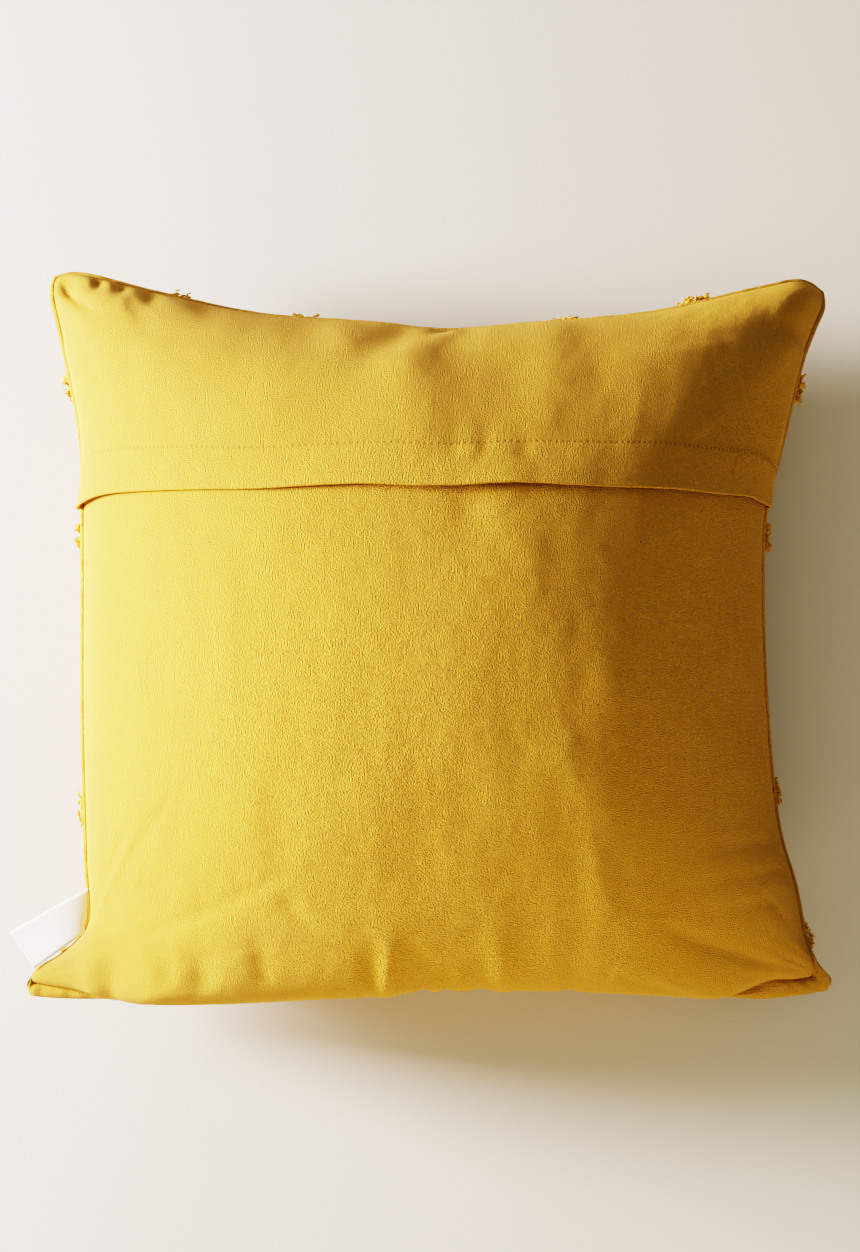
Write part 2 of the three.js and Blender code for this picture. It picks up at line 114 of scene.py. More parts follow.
def seam_sheet(u, v):
    """The smooth sheet between the four sides of the seam, for u and v from -1 to 1.

    It is the mean sheet between bottom and top, plus the one between left and right, less the one
    between the four ears (a Coons patch). Near an ear both coordinates shrink, which rounds its tip.
    """
    shrink = 1 - EAR_ROUNDING * np.abs(u * v) ** EAR_SHARPNESS
    s, t = (u * shrink + 1) / 2, (v * shrink + 1) / 2
    right, top = s[..., None], t[..., None]
    ear = {name: np.array(place) * MM for name, place in EARS.items()}
    between_ears = (1 - top) * ((1 - right) * ear["bottom_left"] + right * ear["bottom_right"])
    between_ears = between_ears + top * ((1 - right) * ear["top_left"] + right * ear["top_right"])
    across = (1 - top) * seam["bottom"](s) + top * seam["top"](s)
    along = (1 - right) * seam["left"](t) + right * seam["right"](t)
    return across + along - between_ears


# Filled form: the back crowns over the seam, the front crowns under it and is pressed flat where the
# cushion lies. Cloth places run from -1 to 1 across a panel and are even in the cloth. Seen from the
# back the same lines crowd towards the seams, where the cloth stands steeply.
HALF_WIDTH = 210 * MM
HALF_CLOTH = 228.5 * MM
BACK_CROWN = 71 * MM
FRONT_CROWN = 88 * MM
CROWN_FLATNESS = 2.2
CROWN_EDGE = 0.52
EVENNESS = 0.55
BOW = 0.085
ROLL_WIDTH = 3 * MM
ROLL_RISE = 1.5 * MM
SEAM_LINE = 1 - ROLL_WIDTH / HALF_WIDTH
BELLY_REACH = 23.5 * MM
BELLY_SPAN = 14 * MM
BELLY_SIDES = 2.5
WIDE_ROLL = 6 * MM
WIDE_ROLL_START = 0.70
WIDE_ROLL_GROWTH = 0.2
WIDE_ROLL_FADE = 30 * MM
RIGHT_ROLL = 6.5 * MM
RIGHT_ROLL_PLACE = 0.83
RIGHT_ROLL_SPAN = 0.10
LOBE = 8 * MM
LOBE_HEIGHT = 13 * MM


def soft_step(x):
    """0 below 0, 1 above 1 and smooth between."""
    x = np.clip(x, 0, 1)
    return x * x * (3 - 2 * x)


def spread(cloth):
    """Where a line of the cloth lies across the cushion: a mean of the even place and its sine."""
    return SEAM_LINE * ((1 - EVENNESS) * np.sin(np.pi * cloth / 2) + EVENNESS * cloth)


def crown(u, v):
    """1 at the middle and 0 at the seams: the product of 1 - |place|^flatness both ways, to a power."""
    across = 1 - np.minimum(1, np.abs(u)) ** CROWN_FLATNESS
    along = 1 - np.minimum(1, np.abs(v)) ** CROWN_FLATNESS
    return (across * along) ** CROWN_EDGE


def bowed(u, line):
    """The crosswise lines bow up in the middle, as the drawn-in top pulls them."""
    return line + BOW * (1 - u**2) * (1 - line**2)


def planned_back(a, b):
    """The back panel: the seam's sheet, raised by the crown, with a belly over the bottom seam.

    Towards both bottom ears the front's cloth rolls further up over the seam, and most beside the right
    one, where it also comes in as a lobe from the side.
    """
    u, line = np.meshgrid(spread(a), spread(b), indexing="ij")
    v = bowed(u, line)
    points = seam_sheet(u, v)
    points[..., 2] += ROLL_RISE + BACK_CROWN * crown(u / SEAM_LINE, v / SEAM_LINE)
    from_bottom = (1 + line) * HALF_WIDTH / BELLY_SPAN
    fade = 1 - np.abs(u) ** BELLY_SIDES
    points[..., 1] -= BELLY_REACH * from_bottom * np.exp(1 - from_bottom) * fade
    at_ears = soft_step((np.abs(u) - WIDE_ROLL_START) / WIDE_ROLL_GROWTH)
    height = (line + SEAM_LINE) * HALF_WIDTH
    roll = WIDE_ROLL * at_ears + RIGHT_ROLL * np.exp(-(((u - RIGHT_ROLL_PLACE) / RIGHT_ROLL_SPAN) ** 2))
    points[..., 1] += roll * np.exp(-((height / WIDE_ROLL_FADE) ** 2))
    from_right = (SEAM_LINE - u) * HALF_WIDTH
    points[..., 0] -= LOBE * np.exp(-((height / LOBE_HEIGHT) ** 2) - (from_right / WIDE_ROLL_FADE) ** 2)
    return points


def planned_front(a, b):
    """The front panel: the seam's sheet, lowered by the crown. Its edge is the cushion's rim."""
    u, line = np.meshgrid(spread(a) / SEAM_LINE, spread(b) / SEAM_LINE, indexing="ij")
    v = bowed(u, line)
    points = seam_sheet(u, v)
    points[..., 2] -= FRONT_CROWN * crown(u, v)
    return points


# Filling: the cover is blown up from that form as cloth that is cut flat, so it finds its own slack
# and puckers. What it does slowly from place to place is held back, to keep the cushion's size.
CLOTH_CELLS = 120
FILL_FRAMES = 30
SLOW_PASSES = 60
SLOW_SHARE = 0.05
PUCKER_SHARE = 0.55


def cells(numbers):
    """Four-cornered faces over a grid of vertex numbers, facing +Z where x and y run up the grid."""
    corners = [numbers[:-1, :-1], numbers[1:, :-1], numbers[1:, 1:], numbers[:-1, 1:]]
    return np.stack(corners, axis=-1).reshape(-1, 4)


def border(grid):
    """The grid's border, anticlockwise from its first corner, without repeating it."""
    return np.concatenate([grid[:-1, 0], grid[-1, :-1], grid[:0:-1, -1], grid[0, :0:-1]])


def strip(first, second):
    """Faces between two closed loops of vertex numbers that run the same way."""
    return np.stack([first, np.roll(first, -1), np.roll(second, -1), second], axis=-1)


def new_piece(name, points, faces, uv=None):
    """A smooth mesh object from arrays of points, faces and one map place for each point."""
    mesh = bpy.data.meshes.new(name)
    mesh.vertices.add(len(points))
    mesh.vertices.foreach_set("co", np.asarray(points, np.float32).ravel())
    mesh.loops.add(faces.size)
    mesh.loops.foreach_set("vertex_index", faces.astype(np.int32).ravel())
    mesh.polygons.add(len(faces))
    mesh.polygons.foreach_set("loop_start", np.arange(0, faces.size, faces.shape[1], dtype=np.int32))
    mesh.update(calc_edges=True)
    mesh.shade_smooth()
    if uv is not None:
        layer = mesh.uv_layers.new(name="cloth")
        layer.uv.foreach_set("vector", np.asarray(uv, np.float32)[faces.ravel()].ravel())
    piece = bpy.data.objects.new(name, mesh)
    bpy.context.scene.collection.objects.link(piece)
    return piece


def slow_part(change):
    """A grid of moves with its short waves taken out: each line takes half of its two neighbours."""
    slow = change.copy()
    for _ in range(SLOW_PASSES):
        slow[1:-1] = slow[1:-1] / 2 + (slow[:-2] + slow[2:]) / 4
        slow[:, 1:-1] = slow[:, 1:-1] / 2 + (slow[:, :-2] + slow[:, 2:]) / 4
    return slow


def filled(back, front):
    """Both panels after the cloth has been blown up, pinned along the seam and at its rim."""
    count = len(back)
    numbers = np.arange(count * count).reshape(count, count)
    under = numbers + count * count
    edge, rim = border(numbers), border(under)
    faces = np.vstack([cells(numbers), cells(under)[:, ::-1], strip(rim, edge)])
    start = np.concatenate([back.reshape(-1, 3), front.reshape(-1, 3)])
    cover = new_piece("cover", start, faces)
    cover.shape_key_add(name="filled")
    cut = cover.shape_key_add(name="cut")
    places = np.linspace(-HALF_CLOTH, HALF_CLOTH, count)
    x, y = np.meshgrid(places, places, indexing="ij")
    flat = np.tile(np.stack([x, y, np.zeros_like(x)], axis=-1).reshape(-1, 3), (2, 1))
    cut.data.foreach_set("co", flat.ravel())
    pinned = cover.vertex_groups.new(name="pinned")
    pinned.add(np.concatenate([edge, rim]).tolist(), 1.0, "REPLACE")

    cloth = cover.modifiers.new("cloth", "CLOTH")
    settings = cloth.settings
    settings.quality = 6
    settings.mass = 0.3
    settings.tension_stiffness = 25
    settings.compression_stiffness = 12
    settings.shear_stiffness = 12
    settings.bending_stiffness = 0.5
    settings.tension_damping = 10
    settings.compression_damping = 10
    settings.shear_damping = 10
    settings.rest_shape_key = cut
    settings.vertex_group_mass = "pinned"
    settings.use_pressure = True
    settings.uniform_pressure_force = 12
    settings.effector_weights.gravity = 0
    cloth.collision_settings.use_collision = False
    cloth.point_cache.frame_end = FILL_FRAMES
    scene = bpy.context.scene
    for step in range(1, FILL_FRAMES + 1):
        scene.frame_set(step)
    blown = cover.evaluated_get(bpy.context.evaluated_depsgraph_get()).to_mesh()
    end = np.empty(len(start) * 3, np.float32)
    blown.vertices.foreach_get("co", end)
    scene.frame_set(1)
    bpy.data.objects.remove(cover)
    change = (end.reshape(-1, 3) - start).reshape(2, count, count, 3)
    kept = []
    for panel, move in zip((back, front), change):
        slow = slow_part(move)
        kept.append(panel + SLOW_SHARE * slow + PUCKER_SHARE * (move - slow))
    return kept


cloth_lines = np.linspace(-1, 1, CLOTH_CELLS + 1)
back_panel = planned_back(cloth_lines, cloth_lines)
front_panel = planned_front(cloth_lines, cloth_lines)

# The frame's origin is at the middle of the whole cushion, so the cover moves to where its body lies.
body_low, body_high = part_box("cushion_body")
sides_of_cover = {side: seam[side](np.linspace(0, 1, 2001)) for side in ("left", "top")}
shift = np.array([
    body_low.x - sides_of_cover["left"][:, 0].min(), body_high.y - sides_of_cover["top"][:, 1].max(), 0,
])
back_panel += shift
front_panel += shift
back_panel, front_panel = filled(back_panel, front_panel)

# Resting face: the front is pressed flat on what the cushion lies on, and dimpled at its tufts.
REST_BLEND = 5 * MM
DIMPLE_DEPTH = 8 * MM
DIMPLE_FLOOR = 9 * MM
DIMPLE_MOUTH = 21 * MM


def weights(places, count):
    """A matrix that takes a grid's lines to places between them, -1 to 1 across the grid.

    Each place weighs its four nearest lines with the cubic through them (Catmull-Rom). The grid is
    carried on by one line at either end.
    """
    x = (np.asarray(places, float) + 1) / 2 * (count - 1)
    line = np.clip(np.floor(x).astype(int), 0, count - 2)
    t = x - line
    cubic = [-t + 2 * t**2 - t**3, 2 - 5 * t**2 + 3 * t**3, t + 4 * t**2 - 3 * t**3, t**3 - t**2]
    matrix = np.zeros((len(x), count + 2))
    for step, weight in enumerate(cubic):
        matrix[np.arange(len(x)), line + step] = weight / 2
    matrix[:, 1] += 2 * matrix[:, 0]
    matrix[:, 2] -= matrix[:, 0]
    matrix[:, -2] += 2 * matrix[:, -1]
    matrix[:, -3] -= matrix[:, -1]
    return matrix[:, 1:-1]


def surface(panel, a, b):
    """A panel's smooth surface at every pair of the cloth places a and b."""
    across, along = weights(a, panel.shape[0]), weights(b, panel.shape[1])
    return np.stack([across @ panel[..., part] @ along.T for part in range(panel.shape[2])], axis=-1)


def normals(points):
    """Unit normals of a grid of points, from its central differences."""
    across, along = np.gradient(points, axis=0), np.gradient(points, axis=1)
    normal = np.cross(across, along)
    return normal / np.linalg.norm(normal, axis=-1, keepdims=True)


tuft_names = sorted(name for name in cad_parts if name.startswith("tuft_"))


def front_surface(a, b):
    """The front: flattened softly onto z = 0, then raised in a cone under each tuft near it."""
    points = surface(front_panel, a, b)
    z = points[..., 2]
    blended = (z + REST_BLEND) ** 2 / (4 * REST_BLEND)
    z = np.where(np.abs(z) < REST_BLEND, blended, np.maximum(0, z))
    for name in tuft_names:
        low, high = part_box(name)
        away = np.hypot(points[..., 0] - (low.x + high.x) / 2, points[..., 1] - (low.y + high.y) / 2)
        cone = DIMPLE_DEPTH * soft_step((DIMPLE_MOUTH - away) / (DIMPLE_MOUTH - DIMPLE_FLOOR))
        z = np.where(z < DIMPLE_DEPTH, np.maximum(z, cone), z)
    return np.concatenate([points[..., :2], z[..., None]], axis=-1)


# Back's folds: soft troughs, and ridges where the depth is negative. Each is deepest at its first end,
# and widens and fades out towards its second end. Columns: x and y of both ends, the reach to either
# side and the depth, in millimetres.
FOLDS = [
    (15, 182, -12, 166, 3.2, 2.0),
    (14, 174, -12, 158, 5, -0.9),
    (-17, 173, -71, 125, 10, 1.8),
    (-2, 172, -40, 116, 12, -1.2),
    (33, 178, 22, 138, 11, -0.8),
    (-8, 140, 4, 56, 19, -2.4),
    (46, 140, 52, 50, 18, 1.5),
    (92, 150, 90, -10, 29, 1.6),
    (30, 94, 31, 122, 3.5, 0.5),
    (12, 92, 16, 124, 4, 0.4),
    (52, 92, 50, 126, 5, 0.5),
    (101, -40, 100, 40, 12, -1.1),
    (76, -76, 128, -172, 13, -1.3),
    (-153, -206, -146, -140, 15, -1.8),
    (150, 108, 184, 142, 3, -0.7),
    (70, 190, 64, 120, 16, -1.0),
    (231, 200, 148, 126, 14, -4.6),
    (216, 204, 158, 153, 10, -3.2),
    (196, 176, 128, 122, 12, 2.0),
    (206, 168, 158, 112, 7, -1.8),
    (-226, 214, -128, 128, 19, -3.2),
    (-214, 209, -210, 200, 6.5, 4.6),
    (-211, 204, -185, 181, 3.0, 4.2),
    (-214, 200, -188, 178, 2.6, -0.6),
    (-194, 211, -191, 200, 3.2, 2.2),
    (-181, 209, -178, 196, 3.4, 2.4),
    (-164, 205, -158, 182, 4.0, 2.0),
    (-172, 192, -150, 158, 5, 0.8),
    (-130, 200, -120, 168, 8, 1.2),
    (-72, 176, -48, 112, 13, 0.8),
    (-24, -198, -20, -156, 4.5, -1.7),
    (-13, -198, -15, -164, 5, 1.9),
    (-34, -198, -29, -164, 5, 1.5),
    (40, -196, 34, -140, 6, -1.0),
    (-4, -200, 0, -178, 4, 2.6),
    (9, -200, 8, -182, 3.4, 1.7),
    (78, -202, 77, -180, 4, 1.4),
    (29, -200, 26, -182, 5, 1.4),
    (-190, -198, -190, -136, 6, -1.4),
    (-146, -192, -146, -156, 5, 1.0),
    (-126, -194, -134, -154, 7, 1.4),
    (-178, -200, -176, -176, 5, 1.2),
    (-127, -149, -109, -162, 2.4, 0.4),
    (-78, -154, -56, -180, 3.6, 0.6),
    (-92, -192, -98, -154, 5, 1.0),
    (-116, 45, -86, 14, 7, 0.5),
    (20, 60, 20, 14, 12, 1.1),
    (192, -118, 112, -132, 3.2, 0.5),
    (194, -134, 120, -150, 3.2, 0.5),
    (190, -152, 122, -163, 3.2, 0.5),
]
FOLD_WIDENING = 0.8
FOLD_FADE = 0.8
UNEVEN_FADE = 9 * MM

# The cloth is uneven besides, mostly in bands that run up and down. Each row is a grid of random
# heights, with its number of lines across and along, and the height in millimetres.
UNEVEN = [(16, 16, 0.24), (38, 12, 0.12), (90, 60, 0.045)]
chance = np.random.default_rng(12)
uneven = [chance.normal(0, height * MM, (across, along, 1)) for across, along, height in UNEVEN]


def fold_depth(points, from_seam):
    """How deep the folds press in the back: each is a bell across its line, and they add up.

    At the seams each fades out over a share of its own reach.
    """
    flat = (points - shift)[..., :2] / MM
    depth = np.zeros(flat.shape[:-1])
    for x0, y0, x1, y1, reach, deep in FOLDS:
        start, line = np.array([x0, y0]), np.array([x1 - x0, y1 - y0])
        share = ((flat - start) @ line) / (line @ line)
        along = np.clip(share, 0, 1)
        away = np.linalg.norm(flat - start - along[..., None] * line, axis=-1)
        bell = np.exp(-((away / (reach * (1 + FOLD_WIDENING * along))) ** 2))
        depth += deep * (1 - soft_step(share)) * bell * np.clip(from_seam / (FOLD_FADE * reach * MM), 0, 1)
    return depth * MM


def back_surface(a, b):
    """The back with its folds and unevenness, which fade out at the seams."""
    points = surface(back_panel, a, b)
    u, v = np.meshgrid(spread(a), spread(b), indexing="ij")
    from_seam = (SEAM_LINE - np.maximum(np.abs(u), np.abs(v))) * HALF_WIDTH
    bumps = sum(surface(grid, a, b)[..., 0] for grid in uneven) * np.clip(from_seam / UNEVEN_FADE, 0, 1)
    return points - normals(points) * (fold_depth(points, from_seam) + bumps)[..., None]


# Cotton: plain weave of uneven, slubby yarn, dyed mustard yellow, with a few dark husks spun in. It
# keeps sharp crooked creases from how it was packed.
COTTON_COLOUR = (0.80, 0.40, 0.035, 1)
THREAD = 0.62 * MM
WEAVE_HEIGHT = 0.06 * MM
WOBBLE_OVER = 9
WOBBLE_UNDER = 11
# Yarns' unevenness: cells a metre across and along the cloth, detail, height and share in the tone.
YARNS = {
    "weft": (520, 1500, 1.0, 0.45 * MM, 0.3),
    "warp": (1150, 620, 1.5, 0.35 * MM, 0.4),
    "grain": (1250, 1500, 0.5, 2.5 * MM, 0.3),
    "slubs": (300, 170, 1.0, 0.45 * MM, 0),
}
TONES = (0.94, 1.02)
TONE_STOPS = (0.32, 0.62)
HUSKS_A_METRE = 55.0
HUSK_REACH = (0.035, 0.02)
HUSK_SHARE = 0.38
HUSK_TONE = 0.45
# Packing creases: cells a metre, how far the pattern is moved, and depth.
CREASES = [(17, 0.3, 0.14 * MM), (31, 4.1, 0.10 * MM)]
CREASE_WIDTH = 1.1 * MM
CREASE_BEND = 0.25
CREASE_PATCHES = (0.45, 0.62)
# How strongly the real dark husks, and the painted shade in the needle holes, darken the colour.
HUSK_AND_HOLE_SHADE_STRENGTH = 0.8
STITCH_PITCH = 3.3 * MM
HOLE_RADIUS = 0.7 * MM
HOLE_DEPTH = 0.5 * MM
# Share of the colour left in each needle hole: painted shade standing in for the hole's shadow.
HOLE_PAINTED_SHADE = 0.35


class Value:
    """A socket of a material's nodes, on which sums, products and the like add Math nodes."""

    def __init__(self, paint, socket):
        self.paint, self.socket = paint, socket

    def _math(self, operation, first, second):
        return self.paint.node("Math", {"operation": operation}, {0: first, 1: second})

    def __add__(self, other):
        return self._math("ADD", self, other)

    def __radd__(self, other):
        return self._math("ADD", other, self)

    def __sub__(self, other):
        return self._math("SUBTRACT", self, other)

    def __rsub__(self, other):
        return self._math("SUBTRACT", other, self)

    def __mul__(self, other):
        return self._math("MULTIPLY", self, other)

    def __rmul__(self, other):
        return self._math("MULTIPLY", other, self)

    def other(self, output):
        """Another output of the same node."""
        return Value(self.paint, self.socket.node.outputs[output])


class Paint:
    """A material, to which one method adds any node."""

    def __init__(self, name):
        self.material = bpy.data.materials.new(name)
        self.material.use_nodes = True
        self.material.node_tree.nodes.clear()

    def node(self, kind, settings, sockets, output=0):
        """Adds a node of a type with its settings, feeds its sockets and gives one of its outputs."""
        node = self.material.node_tree.nodes.new("ShaderNode" + kind)
        for name, setting in settings.items():
            if name == "stops":
                for index, (place, colour) in enumerate(setting):
                    stops = node.color_ramp.elements
                    stop = stops[index] if index < len(stops) else stops.new(place)
                    stop.position, stop.color = place, colour
            else:
                setattr(node, name, setting)
        for name, value in sockets.items():
            if isinstance(value, Value):
                self.material.node_tree.links.new(value.socket, node.inputs[name])
            else:
                node.inputs[name].default_value = value
        return Value(self, node.outputs[output])

    def finish(self, **sockets):
        """Ends the material in a Principled shader with these sockets."""
        named = {name.replace("_", " "): value for name, value in sockets.items()}
        shader = self.node("BsdfPrincipled", {}, named)
        end = self.material.node_tree.nodes.new("ShaderNodeOutputMaterial")
        self.material.node_tree.links.new(shader.socket, end.inputs["Surface"])
        return self.material


def toned(colour, share):
    """A colour made darker or lighter by a share."""
    return tuple(min(1, share * part) for part in colour[:3]) + (1,)


def cotton(name, colour, stitch_row=None):
    """Plain-weave cotton in the panel's own cloth map, which is in metres.

    Needle holes stand at every stitch along the row, which is a height on the map. Each hole dips into the
    cloth, and its colour is darkened there as painted shade.
    """
    paint = Paint(name)
    cloth = paint.node("UVMap", {"uv_map": "cloth"}, {})
    x = paint.node("SeparateXYZ", {}, {"Vector": cloth})
    y = x.other(1)

    def noise(across_a_metre, along_a_metre, detail):
        place = paint.node("Mapping", {}, {"Vector": cloth, "Scale": (across_a_metre, along_a_metre, 1)})
        return paint.node(
            "TexNoise", {"noise_dimensions": "2D"},
            {"Vector": place, "Scale": 1.0, "Detail": detail, "Roughness": 0.6},
        )

    wobble = noise(60, 60, 1.0)
    over = paint.node("Math", {"operation": "SINE"}, {0: x * (np.pi / THREAD) + wobble * WOBBLE_OVER})
    under = paint.node("Math", {"operation": "SINE"}, {0: y * (np.pi / THREAD) + wobble * WOBBLE_UNDER})
    yarns = [(noise(*grid), high, share) for *grid, high, share in YARNS.values()]
    height = over * under * WEAVE_HEIGHT + sum(yarn * high for yarn, high, share in yarns)
    tone = sum(yarn * share for yarn, high, share in yarns if share)
    for cells_a_metre, moved, deep in CREASES:
        place = paint.node(
            "Mapping", {}, {"Vector": cloth, "Location": (moved, moved, 0), "Scale": (cells_a_metre,) * 3},
        )
        bent = paint.node("TexNoise", {"noise_dimensions": "2D"}, {"Vector": place, "Scale": 1.5}, output=1)
        crooked = paint.node(
            "VectorMath", {"operation": "MULTIPLY_ADD"}, {0: bent, 1: (CREASE_BEND,) * 3, 2: place},
        )
        from_crease = paint.node(
            "TexVoronoi", {"feature": "DISTANCE_TO_EDGE", "voronoi_dimensions": "2D"},
            {"Vector": crooked, "Scale": 1.0},
        )
        far = from_crease * (1 / (cells_a_metre * CREASE_WIDTH))
        line = paint.node("Math", {"operation": "EXPONENT"}, {0: far * far * -1.0})
        patches = paint.node("TexNoise", {"noise_dimensions": "2D"}, {"Vector": place, "Scale": 0.55})
        least, most = CREASE_PATCHES
        there = paint.node(
            "MapRange", {"interpolation_type": "SMOOTHSTEP"},
            {"Value": patches, "From Min": least, "From Max": most},
        )
        height = height - line * there * deep
    tones = [toned(colour, share) for share in TONES]
    shade = paint.node("ValToRGB", {"stops": list(zip(TONE_STOPS, tones))}, {"Fac": tone})
    specks = paint.node(
        "TexVoronoi", {"voronoi_dimensions": "2D"}, {"Vector": cloth, "Scale": HUSKS_A_METRE},
    )
    chosen = paint.node("Math", {"operation": "GREATER_THAN"}, {0: specks.other(1), 1: 1 - HUSK_SHARE})
    outer, inner = HUSK_REACH
    husk = paint.node("MapRange", {}, {"Value": specks, "From Min": outer, "From Max": inner}) * chosen
    shade = paint.node(
        "Mix", {"data_type": "RGBA"}, {0: husk * HUSK_AND_HOLE_SHADE_STRENGTH, 6: shade, 7: toned(colour, HUSK_TONE)},
        output=2,
    )
    if stitch_row is not None:
        along_row = paint.node("Math", {"operation": "PINGPONG"}, {0: x, 1: STITCH_PITCH / 2})
        off_row = y - stitch_row
        near = (along_row * along_row + off_row * off_row) * (1 / HOLE_RADIUS**2)
        # Each needle hole dips the bump, and below its colour is darkened as painted shade.
        hole_dip_and_painted_shade = paint.node("Math", {"operation": "EXPONENT"}, {0: near * -1.0})
        height = height - hole_dip_and_painted_shade * HOLE_DEPTH
        shade = paint.node(
            "Mix", {"data_type": "RGBA"}, {0: hole_dip_and_painted_shade * HUSK_AND_HOLE_SHADE_STRENGTH, 6: shade, 7: toned(colour, HOLE_PAINTED_SHADE)},
            output=2,
        )
    bump = paint.node("Bump", {}, {"Height": height, "Distance": 1.0, "Strength": 1.0})
    return paint.finish(
        Base_Color=shade, Normal=bump, Roughness=0.85, Sheen_Weight=0.06, Sheen_Roughness=0.4,
        Specular_IOR_Level=0.5,
    )


yellow_cotton = cotton("yellow_cotton", COTTON_COLOUR)

# Front and filling: one closed body. Its rim rolls over the seam to the back as a narrow round welt,
# and ends in the groove where the back's panels are sewn on. The welt ripples finely, and a hollow runs
# along it beside the bottom right ear.
BODY_CELLS = 216
WELT_BULGE = 0.9 * MM
GROOVE = 0.9 * MM
WELT_RINGS = 5
WELT_RIPPLES = [(131, 7, 1), (83, 5, 2)]
RIPPLE_SHARE = 0.35
EAR_HOLLOW = 2.6 * MM
EAR_HOLLOW_PLACE = 178 * MM
EAR_HOLLOW_SPAN = 14 * MM
EAR_HOLLOW_HEIGHT = 0.8
EAR_HOLLOW_HEIGHT_SPAN = 0.2
UNDER_PANELS = 0.3 * MM

lines = np.linspace(-1, 1, BODY_CELLS + 1)
body_front = front_surface(lines, lines)
body_back = back_surface(lines, lines)
rim, edge = border(body_front), border(body_back)
outwards = rim - edge
roll_width = np.linalg.norm(outwards, axis=1, keepdims=True)
tangent = np.roll(edge, -1, axis=0) - np.roll(edge, 1, axis=0)
up = np.cross(outwards, tangent)
up /= np.linalg.norm(up, axis=1, keepdims=True)
around = np.arange(len(rim)) / len(rim) * 2 * np.pi
ripple = sum(np.sin(many * around + swing * np.sin(few * around)) for many, few, swing in WELT_RIPPLES) / 2
at_ear = np.exp(-(((rim[:, 0] - shift[0] - EAR_HOLLOW_PLACE) / EAR_HOLLOW_SPAN) ** 2)) * (rim[:, 1] < 0)
rings = []
for ring in range(1, WELT_RINGS + 1):
    share = ring / (WELT_RINGS + 1)
    lift = WELT_BULGE * np.sin(np.pi * share) * (1 + RIPPLE_SHARE * ripple)
    off_hollow = (share - EAR_HOLLOW_HEIGHT) / EAR_HOLLOW_HEIGHT_SPAN
    lift -= EAR_HOLLOW * at_ear * np.exp(-(off_hollow**2))
    rings.append(rim - share * outwards + up * lift[:, None])
hidden = body_back - normals(body_back) * UNDER_PANELS
sunk = np.maximum(np.abs(lines)[:, None], np.abs(lines)[None, :]) == 1
hidden[sunk] = body_back[sunk]
hidden[..., 2] -= np.where(sunk, GROOVE, 0)

count = len(lines)
numbers = np.arange(count * count).reshape(count, count)
loops = [border(numbers)]
for ring in range(WELT_RINGS):
    loops.append(2 * count * count + ring * len(rim) + np.arange(len(rim)))
loops.append(border(numbers + count * count))
faces = [cells(numbers)[:, ::-1], cells(numbers + count * count)]
faces += [strip(lower, upper) for lower, upper in zip(loops[:-1], loops[1:])]
map_x, map_y = np.meshgrid(lines * HALF_CLOTH, lines * HALF_CLOTH, indexing="ij")
cloth_map = np.stack([map_x, map_y], axis=-1)
edge_map = border(cloth_map)
ring_maps = [
    edge_map * (1 + roll_width / HALF_CLOTH * ring / (WELT_RINGS + 1)) for ring in range(1, WELT_RINGS + 2)
]
hidden_map = cloth_map.reshape(-1, 2).copy()
hidden_map[border(numbers)] = ring_maps.pop()
body = new_piece(
    "cushion_front_and_filling",
    np.concatenate([body_front.reshape(-1, 3), hidden.reshape(-1, 3), *rings]),
    np.vstack(faces),
    np.concatenate([cloth_map.reshape(-1, 2), hidden_map, *ring_maps]),
)
body.data.materials.append(yellow_cotton)
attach(body, "root")
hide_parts("cushion_body")

# Back's panels: the lower one runs from the bottom seam up under the flap. The flap hangs from the top
# seam, laps over it and ends in a doubled hem with one row of stitches. The hem's edge and the row hang
# below a straight line of the cloth, less where the side seams hold them.
CLOTH = 0.6 * MM
HEM_CLOTH = 1.3 * MM
CLEARANCE = 0.2 * MM
FLAP_EDGE = 0.34
FLAP_STITCH = 0.465
LOWER_PANEL_EDGE = 0.77
EDGE_LINES = np.array([0, 0.0007, 0.0018, 0.0035, 0.007])
INNER_LINE = 0.985
SHEET_COLUMNS = 252
LOWER_LINES = 180
HEM_LINES = 14
ABOVE_LINES = 60
HEM_TURN = 0.012
LAP_FADE = 0.06
HEM_ROUND = 0.6 * MM
ROW_GROOVE = 0.65 * MM
ROW_GROOVE_WIDTH = 1.1 * MM
# Places across the cloth, and how far the hem's edge and the row of stitches hang there in millimetres.
HEM_SAG = [
    (-1, 1.4), (-0.95, 2.1), (-0.5, 2.6), (-0.35, 3.2), (0, 3.4), (0.3, 4.4), (0.6, 4.2), (0.76, 5.0),
    (0.93, 4.6), (0.97, 3.2), (1, 0.4),
]
ROW_SAG = [
    (-1, 2.5), (-0.79, 2.5), (-0.42, 1.9), (-0.23, 1.2), (-0.05, 0), (0.46, 0), (0.54, 0.6), (0.6, 2.0),
    (0.68, 3.8), (0.8, 4.4), (1, 4.8),
]
ROW_SAG_FADE = 0.35
SAG_STEP = 2.5 * MM
SEAM_SINK = 0.5 * MM
EDGE_ROUND = 0.7 * MM
EDGE_LIFT = 2.7 * MM
EDGE_LIFT_REACH = 14 * MM
EDGE_WAVE = 0.35
TACK_PLACE = 0.79
TACK_ROOM = 0.009
TACK_START = 1 * MM
TACK_LENGTH = 15 * MM
TACK_END = 2 * MM
TACK_WIDTH = 0.8 * MM
TACK_GROOVE = 0.9 * MM

dense = np.linspace(-1, 1, 4001)
edge_place, stitch_place, lower_place = np.interp(
    [FLAP_EDGE, FLAP_STITCH, LOWER_PANEL_EDGE], spread(dense), dense
)
tack_columns = TACK_PLACE + np.array([-0.006, -0.003, 0, 0.003, 0.006])
even_columns = np.linspace(-INNER_LINE, INNER_LINE, SHEET_COLUMNS)
even_columns = even_columns[np.abs(even_columns - TACK_PLACE) > TACK_ROOM]
sides = np.sort(np.concatenate([-1 + EDGE_LINES, even_columns, tack_columns, 1 - EDGE_LINES]))


